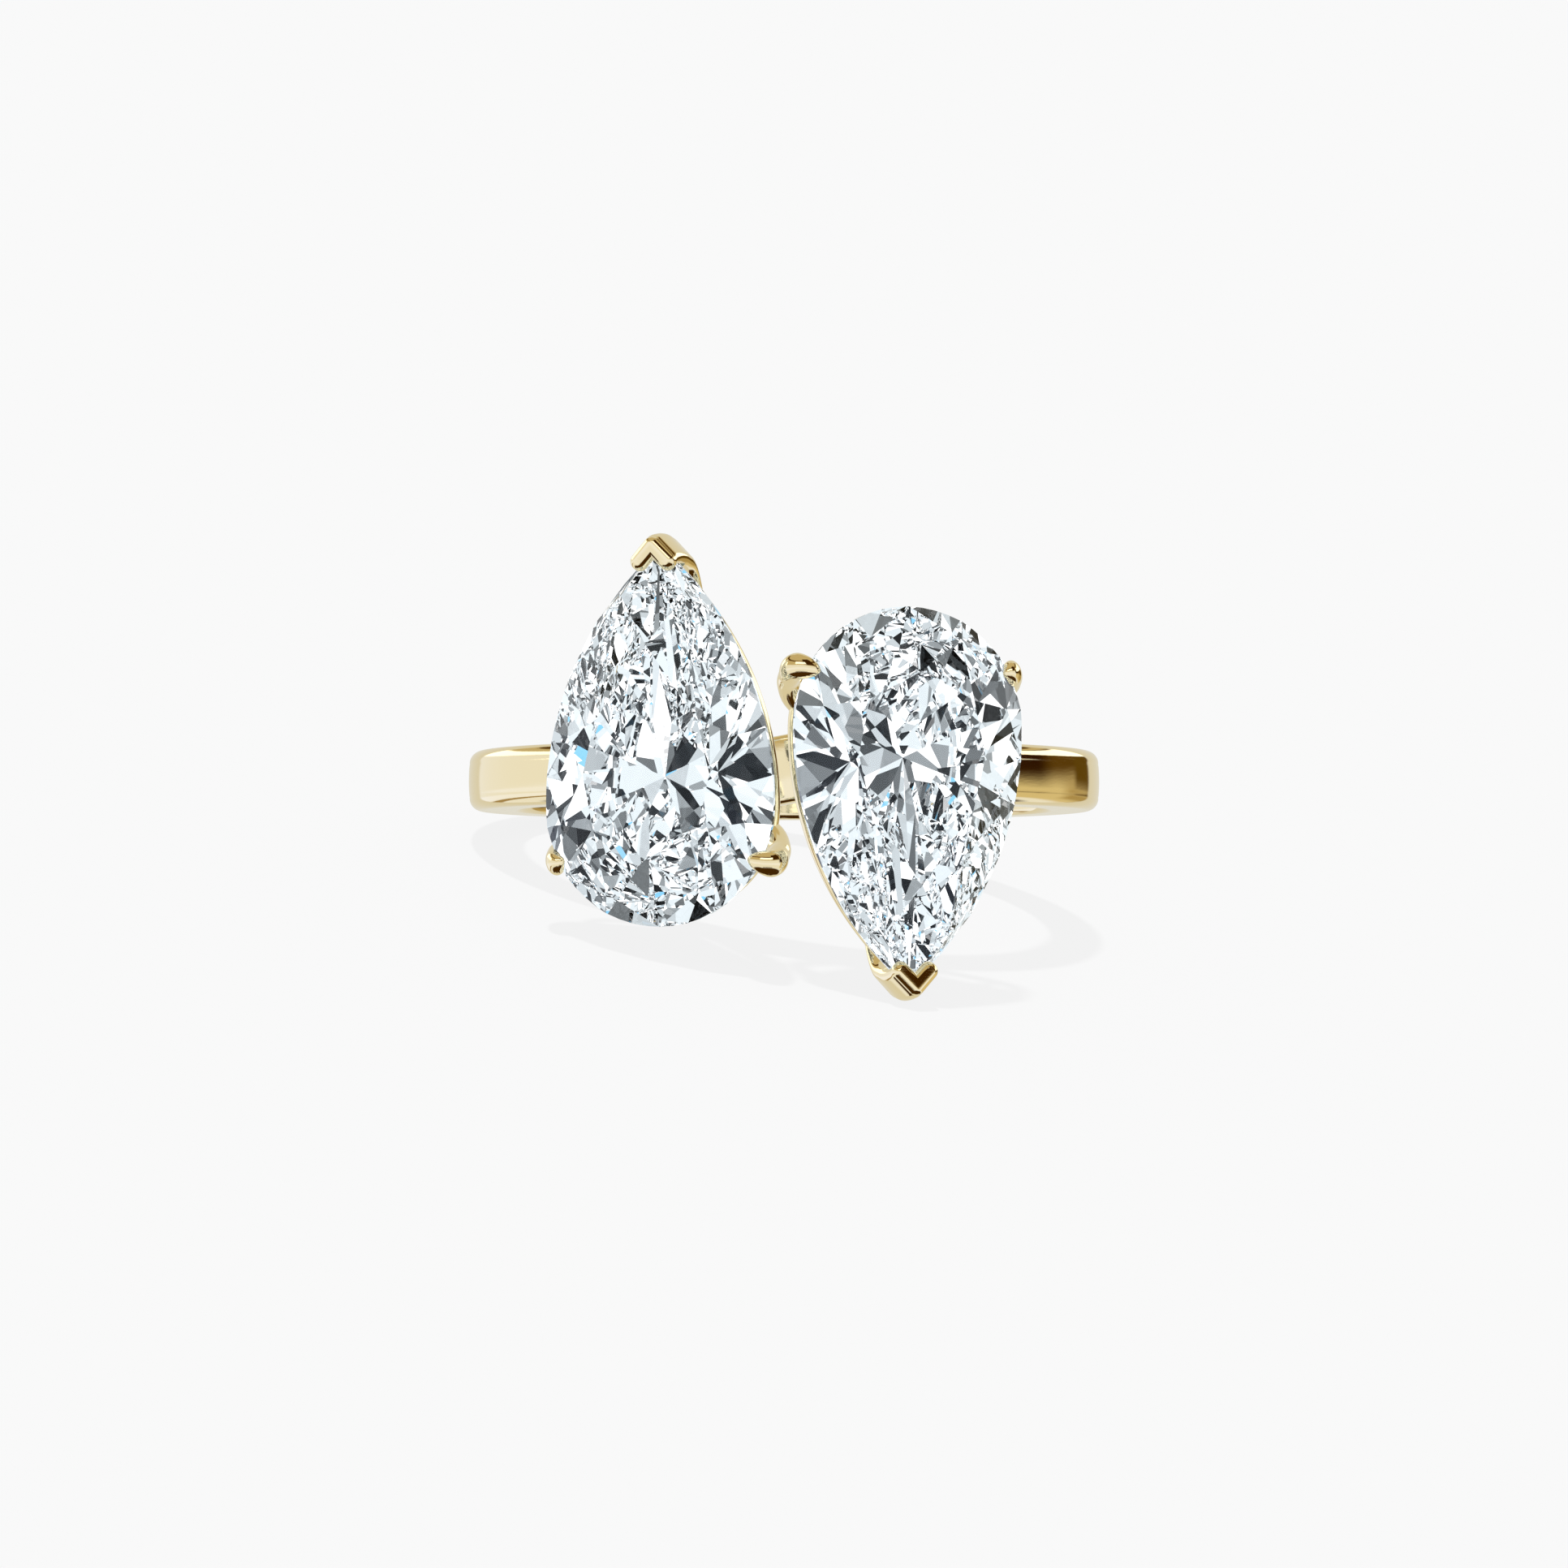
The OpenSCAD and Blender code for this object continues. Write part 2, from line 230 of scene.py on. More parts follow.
def loft(name, rings, place=None, closed=False):
    """Solid through rings with as many points each, capped at both ends or closed to a loop."""
    n, last = len(rings[0]), len(rings) - 1
    points = [p for ring in rings for p in ring]
    faces = []
    for r in range(last + closed):
        a, b = r * n, (r + 1) % (last + 1) * n
        for i in range(n):
            j = (i + 1) % n
            faces.append((a + i, a + j, b + j, b + i))
    if not closed:
        faces.append(tuple(range(n)))
        faces.append(tuple(last * n + i for i in range(n)))
    return new_object(name, points, faces, place)


def rounded_corner(centre, radius, start, steps, hold_share=0.12):
    """Quarter arc, with a point just before and after it that keeps the flat faces flat."""
    hold = hold_share * radius
    arc = [start + math.pi / 2 * i / steps for i in range(steps + 1)]
    points = [(centre[0] + radius * math.cos(a), centre[1] + radius * math.sin(a)) for a in arc]
    before = (points[0][0] + hold * math.sin(arc[0]), points[0][1] - hold * math.cos(arc[0]))
    after = (points[-1][0] - hold * math.sin(arc[-1]), points[-1][1] + hold * math.cos(arc[-1]))
    return [before, *points, after]


def rounded_rectangle(low, high, left, right, steps):
    """Outline from the low to the high corner; left and right round the corners there."""
    return [
        *rounded_corner((low[0] + left, low[1] + left), left, math.pi, steps),
        *rounded_corner((high[0] - right, low[1] + right), right, 1.5 * math.pi, steps),
        *rounded_corner((high[0] - right, high[1] - right), right, 0, steps),
        *rounded_corner((low[0] + left, high[1] - left), left, 0.5 * math.pi, steps),
    ]


# Band and bridge

def band():
    """Plain band whose outer face is a little higher along its middle."""
    section = rounded_rectangle(
        (FINGER_D / 2, -BAND_W / 2), (BAND_R - BAND_CROWN, BAND_W / 2), HOLE_ROUND, BAND_ROUND,
        steps=10)
    flat = BAND_W / 2 - BAND_ROUND
    face = [mix(-flat, flat, i / CROWN_STEPS) for i in range(1, CROWN_STEPS)]
    crowned = [(BAND_R - BAND_CROWN * (y / flat) ** 2, y) for y in face]
    half = len(section) // 2
    section = section[:half] + crowned + section[half:]
    rings = []
    for i in range(BAND_STEPS):
        a = 2 * math.pi * i / BAND_STEPS
        rings.append([(r * math.cos(a), y, r * math.sin(a)) for r, y in section])
    return smooth(loft("band", rings, closed=True))


def bridge():
    """Block with round edges over the top of the band, between the two baskets."""
    low = BAND_R - BAND_T / 2
    high = BAND_R + BRIDGE_H
    points = [(x, y, z) for x in (-BRIDGE_LEN / 2, BRIDGE_LEN / 2)
              for y in (-BRIDGE_W / 2, BRIDGE_W / 2) for z in (low, high)]
    faces = [(0, 1, 3, 2), (4, 6, 7, 5), (0, 4, 5, 1), (2, 3, 7, 6), (0, 2, 6, 4), (1, 5, 7, 3)]
    piece = new_object("bridge", points, faces, Matrix.Rotation(BRIDGE_TURN, 4, "Z"))
    round_edges(piece, BRIDGE_ROUND, segments=6)
    return smooth(settle(piece))


def round_edges(piece, width, segments, angle=35):
    bevel = piece.modifiers.new("round", "BEVEL")
    bevel.width = width
    bevel.segments = segments
    bevel.limit_method = "ANGLE"
    bevel.angle_limit = math.radians(angle)
    bevel.harden_normals = True
    bevel.use_clamp_overlap = True


# Baskets

def pear_curve(inset, steps=48):
    """Outline of a stone moved in by a distance, from the tip down its left side and round."""
    side_r = SIDE_R - inset
    lean = math.acos((SIDE_R - BELLY) / side_r)
    right = []
    for i in range(steps + 1):
        a = lean * i / steps
        right.append((BELLY - SIDE_R + side_r * math.cos(a), BELLY_Y + side_r * math.sin(a)))
    round_end = []
    for i in range(1, 2 * steps):
        a = math.pi + math.pi * i / (2 * steps)
        round_end.append(((BELLY - inset) * math.cos(a), BELLY_Y + (BELLY - inset) * math.sin(a)))
    left = [(-x, y) for x, y in reversed(right)]
    return left[1:] + round_end + right


def gallery_rail(side):
    """Rail under a stone that follows its outline."""
    section = rounded_rectangle(
        (RAIL_INSET, -RAIL_DROP - RAIL_H), (RAIL_INSET + RAIL_T, -RAIL_DROP),
        RAIL_ROUND, RAIL_ROUND, steps=4)
    curves = [[(x, y, z) for x, y in pear_curve(inset)] for inset, z in section]
    rings = [list(ring) for ring in zip(*curves)]
    return smooth(loft(f"gallery_rail_{SIDES[side]}", rings, stone_place(side), closed=True))


def spline(a, b, c, d, t):
    """Between b and c on a smooth curve through a, b, c and d."""
    return [0.5 * (2 * q + (r - p) * t + (2 * p - 5 * q + 4 * r - s) * t * t
                   + (3 * q - p - 3 * r + s) * t * t * t)
            for p, q, r, s in zip(a, b, c, d)]


def smooth_rows(rows, steps):
    """Rows between the rows of a table, each column on its own."""
    last = len(rows) - 1
    made = []
    for r in range(last):
        four = rows[max(r - 1, 0)], rows[r], rows[r + 1], rows[min(r + 2, last)]
        made += [spline(*four, s / steps) for s in range(steps)]
    return made + [list(rows[last])]


ClawRow = namedtuple("ClawRow", "out height half_width half_thickness")


# Upper sections of a claw prong, with distances out from the stone's seat. The claws between the
# two stones have longer heads than those at the ring's sides.
LONG_HEAD = [
    ClawRow(0.16, -0.94, 0.40, 0.34),
    ClawRow(0.32, -0.42, 0.43, 0.36),
    ClawRow(0.40, -0.08, 0.45, 0.38),
    ClawRow(0.33, 0.16, 0.43, 0.36),
    ClawRow(0.08, 0.30, 0.36, 0.30),
    ClawRow(-0.15, 0.37, 0.25, 0.20),
    ClawRow(-0.28, 0.38, 0.14, 0.11),
    ClawRow(-0.35, 0.37, 0.05, 0.03),
]
SHORT_HEAD = [
    ClawRow(0.18, -0.94, 0.41, 0.34),
    ClawRow(0.17, -0.39, 0.42, 0.34),
    ClawRow(0.08, 0.01, 0.42, 0.31),
    ClawRow(0.00, 0.21, 0.38, 0.27),
    ClawRow(-0.09, 0.34, 0.31, 0.23),
    ClawRow(-0.21, 0.38, 0.22, 0.16),
    ClawRow(-0.31, 0.38, 0.13, 0.09),
    ClawRow(-0.36, 0.37, 0.05, 0.03),
]


def claw_rows(edge, head):
    """Sections of a claw prong from the band to its point; edge is the stone's edge there."""
    seat = edge + SEAT_GAP
    return [
        ClawRow(0, FOOT_Z, STEM_D * 0.50, STEM_D * 0.50),
        ClawRow(edge * 0.34, FOOT_Z * 0.80, STEM_D * 0.46, STEM_D * 0.42),
        ClawRow(edge * 0.68, FOOT_Z * 0.58, 0.35, 0.33),
        ClawRow(edge * 0.93, FOOT_Z * 0.40, 0.39, 0.34),
        *(row._replace(out=seat + row.out) for row in head),
    ]


def claw_prong(side, mirrored):
    """Claw prong that leans out to the stone's edge, and whose head turns in over the crown."""
    seat = Vector((BELLY * math.cos(CLAW_TURN), BELLY_Y - BELLY * math.sin(CLAW_TURN)))
    lean = math.atan2(seat.y, seat.x)
    head = SHORT_HEAD if mirrored else LONG_HEAD
    rows = smooth_rows(claw_rows(seat.length, head), CLAW_STEPS)
    rings = []
    for r, (out, height, half_w, half_t) in enumerate(rows):
        before, after = rows[max(r - 1, 0)], rows[min(r + 1, len(rows) - 1)]
        along = Vector((after[0] - before[0], after[1] - before[1])).normalized()
        turn = mix(lean, -CLAW_HEAD_TURN, ease(height, TURN_Z, 0))
        outward = Vector((math.cos(turn), math.sin(turn)))
        across = Vector((-math.sin(turn), math.cos(turn)))
        bow = ease(height, FOOT_Z, BOW_Z) - ease(height, BOW_Z, BOW_END_Z)
        ring = []
        for i in range(CLAW_SIDES):
            a = 2 * math.pi * i / CLAW_SIDES
            off = math.sin(a) * half_t
            p = seat + outward * (out - seat.length + along.y * off) + across * math.cos(a) * half_w
            ring.append((p.x + CLAW_BOW[0] * bow, p.y + CLAW_BOW[1] * bow, height - along.x * off))
        rings.append(ring)
    flip = Matrix.Scale(-1 if mirrored else 1, 4, (1, 0, 0))
    which = "left" if mirrored else "right"
    name = f"claw_prong_{SIDES[side]}_{which}"
    return smooth(loft(name, rings, stone_place(side) @ flip), crease=60)


VRow = namedtuple("VRow", "height keel half_width thickness round")
V_ROWS = [
    VRow(FOOT_Z * 1.03, STEM_D * 0.50, STEM_D * 0.44, STEM_D * 0.56, V_ROUND * 0.2),
    VRow(FOOT_Z * 0.86, TIP_Y * 0.42, STEM_D * 0.60, V_ARM_W * 1.10, V_ROUND * 0.3),
    VRow(FOOT_Z * 0.70, TIP_Y * 0.68, V_WIDE * 0.88, V_ARM_W * 1.15, V_ROUND * 0.6),
    VRow(FOOT_Z * 0.52, TIP_Y * 0.89, V_WIDE * 0.97, V_ARM_W * 1.15, V_ROUND),
    VRow(FOOT_Z * 0.34, mix(TIP_Y, V_KEEL, 0.45), V_WIDE, V_ARM_W * 1.10, V_ROUND),
    VRow(FOOT_Z * 0.17, mix(TIP_Y, V_KEEL, 0.93), V_WIDE, V_ARM_W, V_ROUND),
    VRow(-GIRDLE_T / 2, V_KEEL, V_WIDE, V_ARM_W, V_ROUND),
    VRow(V_RISE * 0.50, mix(TIP_Y, V_KEEL, 0.86), V_WIDE, V_ARM_W, V_ROUND),
    VRow(V_RISE - V_ROUND, mix(TIP_Y, V_KEEL, 0.70), V_WIDE, V_ARM_W, V_ROUND),
]


def mirror_x(p):
    return Vector((-p.x, p.y))


def v_corners(keel, half_width, thickness):
    """Corners of a V prong's section, clockwise from its keel."""
    arm = half_width / math.sin(V_HALF)
    outer = Vector((half_width, keel - arm * math.cos(V_HALF)))
    x = max(half_width - thickness * math.cos(V_HALF), half_width * V_NOTCH)
    inner = Vector((x, outer.y - thickness * math.sin(V_HALF)))
    notch = Vector((0, keel - thickness / math.sin(V_HALF)))
    return [Vector((0, keel)), outer, inner, notch, mirror_x(inner), mirror_x(outer)]


def rounded_outline(corners, radius, grow, steps=6):
    """Clockwise outline with its corners rounded, moved in by the radius less the growth."""
    points = []
    for i, corner in enumerate(corners):
        before = (corner - corners[i - 1]).normalized()
        after = (corners[(i + 1) % len(corners)] - corner).normalized()
        normals = Vector((-before.y, before.x)), Vector((-after.y, after.x))
        bisector = (normals[0] + normals[1]) / (1 + normals[0].dot(normals[1]))
        centre = corner - bisector * radius
        turn = math.atan2(before.cross(after), before.dot(after))
        if turn > 0:
            points.append(centre + bisector * grow)
            continue
        start = math.atan2(normals[0].y, normals[0].x)
        angles = [start + turn * k / steps for k in range(steps + 1)]
        points += [centre + grow * Vector((math.cos(a), math.sin(a))) for a in angles]
    return points


def v_ring(row, lift=0, grow=None):
    """Section of a V prong, lifted and with its edges drawn in where its top is rounded."""
    height, keel, half_width, thickness, radius = row
    section = rounded_outline(
        v_corners(keel, half_width, thickness), radius, radius if grow is None else grow)
    slope = V_FALL * max(height, 0) / V_RISE
    return [(x, y, height + lift - slope * (keel - y)) for x, y in section]


def v_prong(side):
    """V prong with round edges, whose arms close over the tip of the stone."""
    rows = smooth_rows(V_ROWS, V_STEPS)
    rings = [v_ring(row) for row in rows]
    for degrees in range(V_ROUND_STEP, 90, V_ROUND_STEP):
        a = math.radians(degrees)
        rings.append(v_ring(rows[-1], V_ROUND * math.sin(a), V_ROUND * math.cos(a)))
    piece = loft(f"v_prong_{SIDES[side]}", rings)
    seat = tip_seat()
    cut = piece.modifiers.new("seat", "BOOLEAN")
    cut.object = seat
    cut.operation = "DIFFERENCE"
    cut.solver = "EXACT"
    settle(piece)
    bpy.data.objects.remove(seat)
    piece.data.transform(stone_place(side))
    smooth(piece)
    piece.modifiers.new("even_faces", "WEIGHTED_NORMAL").keep_sharp = True
    return settle(piece)


def tip_seat(steps=16, short=0.001):
    """Space that the tip of the stone takes in its V prong, wider than it by the clearance."""
    edge = GIRDLE_T / 2 + SEAT_GAP
    crown_fall = CROWN_H / (TIP_Y * (1 - TABLE_SHARE))
    pavilion_fall = (PAVILION_H - GIRDLE_T / 2) / TIP_Y
    back = V_ARM + V_ARM_W + V_WALL
    outside = SIDE_R + SEAT_GAP
    tip = BELLY_Y + math.sqrt(outside**2 - (SIDE_R - BELLY) ** 2)
    rings = []
    for i in range(steps + 1):
        y = mix(TIP_Y - back, tip - short, i / steps)
        x = BELLY - SIDE_R + math.sqrt(outside**2 - (y - BELLY_Y) ** 2)
        depth = max(TIP_Y - y, 0)
        top, low = edge + depth * crown_fall, -edge - depth * pavilion_fall
        rings.append([(-x, y, low), (x, y, low), (x, y, top), (-x, y, top)])
    return loft("tip_seat", rings)


# Stones

MAINS = 8
GIRDLE_STEPS = 4
HALVES = 2 * MAINS
GIRDLE_N = HALVES * GIRDLE_STEPS
AHEAD = [(i + 1) % MAINS for i in range(MAINS)]


def ray_reach(direction, centre, radius):
    """How far it is from the stone's axis along a direction to the far side of a circle."""
    along = direction.dot(centre)
    return along + math.sqrt(along**2 + radius**2 - centre.length_squared)


def outline(angle):
    """Edge of a stone, seen from above, at an angle clockwise from the tip."""
    mirrored = angle > math.pi
    a = 2 * math.pi - angle if mirrored else angle
    direction = Vector((math.sin(a), math.cos(a)))
    edge = direction * ray_reach(direction, Vector((BELLY - SIDE_R, BELLY_Y)), SIDE_R)
    if edge.y < BELLY_Y:
        edge = direction * ray_reach(direction, Vector((0, BELLY_Y)), BELLY)
    return Vector((-edge.x, edge.y)) if mirrored else edge


def outline_side(angle):
    """Direction along the edge of a stone at an angle."""
    mirrored = angle > math.pi
    edge = outline(2 * math.pi - angle if mirrored else angle)
    centre = Vector((BELLY - SIDE_R if edge.y >= BELLY_Y else 0, BELLY_Y))
    normal = Vector((0, 1)) if angle == 0 else (edge - centre).normalized()
    return Vector((normal.y, normal.x if mirrored else -normal.x, 0))


def plane_of(a, b, c):
    """Plane through three points, as its normal and its distance from the origin."""
    normal = (b - a).cross(c - a).normalized()
    return normal, normal.dot(a)


def height_on(plane, p):
    """Height of a plane above or below a point."""
    normal, distance = plane
    return (distance - normal.x * p.x - normal.y * p.y) / normal.z


def meet_at(p, q, z):
    """Where two planes meet at a height."""
    e, f = p[1] - p[0].z * z, q[1] - q[0].z * z
    det = p[0].x * q[0].y - p[0].y * q[0].x
    return Vector(((e * q[0].y - p[0].y * f) / det, (p[0].x * f - e * q[0].x) / det, z))


def stone_corners():
    """Corners of a pear-cut stone in rings from its table down, and its culet last."""
    table_z = GIRDLE_T / 2 + CROWN_H
    angles = [2 * math.pi * i / MAINS for i in range(MAINS)]
    table = [(outline(a) * TABLE_SHARE).to_3d() + Vector((0, 0, table_z)) for a in angles]
    culet = Vector((0, 0, -PAVILION_H))
    crown, pavilion = [], []
    for a, corner in zip(angles, table):
        edge = outline(a).to_3d()
        upper, lower = edge + Vector((0, 0, GIRDLE_T / 2)), edge - Vector((0, 0, GIRDLE_T / 2))
        crown.append(plane_of(upper, upper + outline_side(a), corner))
        pavilion.append(plane_of(lower, lower + outline_side(a), culet))
    star_z = GIRDLE_T / 2 + CROWN_H * (1 - STAR_SHARE)
    low_z = -GIRDLE_T / 2 - (PAVILION_H - GIRDLE_T / 2) * LOWER_SHARE
    star = [meet_at(crown[i], crown[j], star_z) for i, j in enumerate(AHEAD)]
    low = [meet_at(pavilion[i], pavilion[j], low_z) for i, j in enumerate(AHEAD)]
    upper = girdle_edge(GIRDLE_T / 2, star)
    under = girdle_edge(-GIRDLE_T / 2, low)
    return [*table, *star, *upper, *under, *low, culet]


def stone_facets():
    """Points and faces of a pear-cut stone, its culet below the origin and its tip on +Y."""
    points = stone_corners()
    star_0, upper_0 = MAINS, 2 * MAINS
    under_0 = upper_0 + GIRDLE_N
    low_0 = under_0 + GIRDLE_N
    culet_0 = len(points) - 1
    faces = [tuple(range(MAINS))]
    for i, j in enumerate(AHEAD):
        main = 2 * GIRDLE_STEPS * i
        faces.append((i, star_0 + i, j))
        faces.append((i, star_0 + (i - 1) % MAINS, upper_0 + main, star_0 + i))
        kite = (culet_0, low_0 + i, under_0 + main, low_0 + (i - 1) % MAINS)
        if i > 0:
            faces.append(kite)
            continue
        points.append(keel_point(*(points[k] for k in kite)))
        faces += [(kite[s - 1], kite[s], len(points) - 1) for s in range(4)]
    for h in range(HALVES):
        edge = [(h * GIRDLE_STEPS + s) % GIRDLE_N for s in range(GIRDLE_STEPS + 1)]
        faces.append((star_0 + h // 2, *(upper_0 + k for k in edge)))
        faces.append((low_0 + h // 2, *(under_0 + k for k in edge)))
    girdle_0 = len(faces)
    for k in range(GIRDLE_N):
        j = (k + 1) % GIRDLE_N
        faces.append((upper_0 + k, under_0 + k, under_0 + j, upper_0 + j))
    return points, faces, girdle_0


def keel_point(culet, right, tip, left):
    """Point that breaks the long facet under the tip into four."""
    outward = (right - left).cross(culet - tip).normalized()
    return culet.lerp(tip, KEEL_PLACE) + outward * KEEL_RISE


def girdle_edge(z, inner):
    """The edge of the girdle dips or rises with the flat facet that it borders."""
    def at(k):
        return outline(2 * math.pi * (k % GIRDLE_N) / GIRDLE_N).to_3d() + Vector((0, 0, z))

    points = []
    for k in range(GIRDLE_N):
        h = k // GIRDLE_STEPS
        p = at(k)
        if k % GIRDLE_STEPS:
            ends = at(h * GIRDLE_STEPS), at((h + 1) * GIRDLE_STEPS)
            p.z = height_on(plane_of(*ends, inner[h // 2]), p)
        points.append(p)
    return points


def pear_stone(side):
    """Stone whose first material is for its facets and whose second one is for its girdle."""
    points, faces, girdle_0 = stone_facets()
    piece = new_object(f"cut_stone_{SIDES[side]}", points, faces, stone_place(side))
    piece.data.shade_flat()
    piece.data.materials.append(None)
    piece.data.materials.append(None)
    for polygon in piece.data.polygons:
        polygon.material_index = int(polygon.index >= girdle_0)
    return piece


# Materials

def new_material(name):
    material = bpy.data.materials.new(name)
    material.use_nodes = True
    return material, material.node_tree, material.node_tree.nodes["Principled BSDF"]


def noise(tree, scale, detail=2, stretch=(1, 1, 1)):
    """Noise over the piece's own place in metres, so it holds from every side."""
    place = tree.nodes.new("ShaderNodeTexCoord")
    mapping = tree.nodes.new("ShaderNodeMapping")
    mapping.inputs["Scale"].default_value = stretch
    texture = tree.nodes.new("ShaderNodeTexNoise")
    texture.inputs["Scale"].default_value = scale
    texture.inputs["Detail"].default_value = detail
    tree.links.new(place.outputs["Object"], mapping.inputs["Vector"])
    tree.links.new(mapping.outputs["Vector"], texture.inputs["Vector"])
    return texture.outputs["Fac"]


def ranged(tree, value, low, high):
    """A value from 0 to 1 brought to the range from low to high."""
    node = tree.nodes.new("ShaderNodeMapRange")
    node.inputs["To Min"].default_value = low
    node.inputs["To Max"].default_value = high
    tree.links.new(value, node.inputs["Value"])
    return node.outputs["Result"]


def blended(tree, factor, first, second):
    """Mix of two colours, each a triple or another node's output."""
    node = tree.nodes.new("ShaderNodeMix")
    node.data_type = "RGBA"
    sockets = {socket.identifier: socket for socket in (*node.inputs, *node.outputs)}
    tree.links.new(factor, sockets["Factor_Float"])
    for name, color in (("A_Color", first), ("B_Color", second)):
        if isinstance(color, tuple):
            sockets[name].default_value = (*color, 1)
        else:
            tree.links.new(color, sockets[name])
    return sockets["Result_Color"]


# Each finish has two close tones, and haze, lines or grain on them. They are spread by noise
# with so many waves to the metre.
GOLD_TONES = ((0.905, 0.775, 0.475), (0.88, 0.74, 0.43))
GOLD_WAVES = 220
GOLD_HAZE = (0.04, 0.09)
HAZE_WAVES = 900
LINE_WAVES = 2500
LINE_DEPTH = 0.02
LINE_STRENGTH = 0.04
STONE_TONES = ((0.985, 0.993, 1.0), (0.965, 0.982, 0.995))
STONE_WAVES = 160
GIRDLE_TONES = ((0.97, 0.98, 0.99), (0.94, 0.96, 0.98))
GIRDLE_WAVES = 1500
GRAIN = (0, 0.02)
GRAIN_WAVES = 4000
STONE_SHEEN = (0.12, 0.135, 0.145, 1)
STONE_IOR = 2.42


def polished_gold():
    """Yellow gold: slight changes of tone, and the fine lines and haze that polishing leaves."""
    material, tree, shader = new_material("polished_gold")
    tone = blended(tree, noise(tree, GOLD_WAVES), *GOLD_TONES)
    tree.links.new(tone, shader.inputs["Base Color"])
    shader.inputs["Metallic"].default_value = 1
    haze = ranged(tree, noise(tree, HAZE_WAVES, detail=4), *GOLD_HAZE)
    tree.links.new(haze, shader.inputs["Roughness"])
    bump = tree.nodes.new("ShaderNodeBump")
    bump.inputs["Strength"].default_value = LINE_STRENGTH
    bump.inputs["Distance"].default_value = LINE_DEPTH * MM
    lines = noise(tree, LINE_WAVES, detail=3, stretch=(1, 1, 6))
    tree.links.new(lines, bump.inputs["Height"])
    tree.links.new(bump.outputs["Normal"], shader.inputs["Normal"])
    return material


def stone_material(name, waves, tones):
    """Clear stone with little sheen, so that most of what it shows comes through it."""
    material, tree, shader = new_material(name)
    tint = blended(tree, noise(tree, waves), *tones)
    tree.links.new(tint, shader.inputs["Base Color"])
    shader.inputs["Roughness"].default_value = 0
    shader.inputs["Specular Tint"].default_value = STONE_SHEEN
    shader.inputs["IOR"].default_value = STONE_IOR
    shader.inputs["Transmission Weight"].default_value = 1
    return material, tree, shader


def clear_stone():
    """Colourless stone with a trace of blue in it."""
    material, tree, shader = stone_material("clear_stone", STONE_WAVES, STONE_TONES)
    return material


def girdle_finish():
    """The girdle is polished with less care than the facets, so it keeps a faint grain."""
    material, tree, shader = stone_material("girdle", GIRDLE_WAVES, GIRDLE_TONES)
    grain = ranged(tree, noise(tree, GRAIN_WAVES, detail=3), *GRAIN)
    tree.links.new(grain, shader.inputs["Roughness"])
    return material


# Stage

def studio_floor():
    """A white table that is lit from within and takes only a pale shadow."""
    half = FLOOR_SIZE / 2
    z = cad_box[0].z
    mesh = bpy.data.meshes.new("studio_floor")
    corners = [(-half, -half, z), (half, -half, z), (half, half, z), (-half, half, z)]
    mesh.from_pydata(corners, [], [(0, 1, 2, 3)])
    floor = bpy.data.objects.new("studio_floor", mesh)
    bpy.context.scene.collection.objects.link(floor)
    material, tree, shader = new_material("white_table")
    shader.inputs["Base Color"].default_value = (*grey(ROOM_SHADE), 1)
    shader.inputs["Roughness"].default_value = 1
    shader.inputs["Specular IOR Level"].default_value = 0
    shader.inputs["Emission Color"].default_value = (1, 1, 1, 1)
    shader.inputs["Emission Strength"].default_value = FLOOR_LIGHT * (1 - ROOM_SHADE - LAMP_SHADE)
    material.cycles.emission_sampling = "NONE"
    mesh.materials.append(material)
    floor.visible_glossy = False
    floor.visible_transmission = False


def shadow_lamp():
    """A lamp far up the finger lights the table alone, and the ring's shadow falls below it."""
    beam = Vector(LAMP_BEAM).normalized()
    floor_up = LYING.inverted().to_3x3() @ Vector((0, 0, 1))
    data = bpy.data.lights.new("shadow_lamp", "SUN")
    data.energy = FLOOR_LIGHT * LAMP_SHADE * math.pi / (ROOM_SHADE * -beam.dot(floor_up))
    data.angle = LAMP_SOFT
    lamp = bpy.data.objects.new("shadow_lamp", data)
    lamp.rotation_euler = (LYING.to_3x3() @ beam).to_track_quat("-Z", "Y").to_euler()
    lamp.visible_glossy = False
    lamp.visible_transmission = False
    bpy.context.scene.collection.objects.link(lamp)


def photo_camera():
    """The photo's camera stands almost square to the head, a little down the finger."""
    data = bpy.data.cameras.new("camera")
    data.sensor_width = SENSOR
    data.lens = SENSOR * PHOTO_FOCAL / PHOTO_SIZE
    data.clip_start, data.clip_end = CLIP_START, 2 * FLOOR_SIZE
    back = Vector((0, -math.sin(CAMERA_DIP), math.cos(CAMERA_DIP)))
    up = Vector((0, math.cos(CAMERA_DIP), math.sin(CAMERA_DIP)))
    right = Vector((1, 0, 0))
    turn = Matrix((right, up, back)).transposed().to_4x4()
    scale = CAMERA_DISTANCE / PHOTO_FOCAL
    aside = right * (PHOTO_SIZE / 2 - PHOTO_CENTRE[0]) * scale
    below = up * (PHOTO_CENTRE[1] - PHOTO_SIZE / 2) * scale
    place = back * CAMERA_DISTANCE + aside + below
    camera = bpy.data.objects.new("camera", data)
    camera.matrix_world = Matrix.Translation(TO_WORLD @ place) @ LYING @ turn
    bpy.context.scene.collection.objects.link(camera)
    bpy.context.scene.camera = camera


# Patches of the studio that the metal and the stones show, seen from the ring in its upright
# frame: azimuth from the camera to the right and height up the finger, their half sizes and
# soft edges, all in degrees, and the colour. A later patch covers an earlier one.
Patch = namedtuple("Patch", "azimuth height half_width half_height soft color")


def grey(level):
    return (level, level, level)


def cool(level):
    return (0.88 * level, 0.96 * level, level)


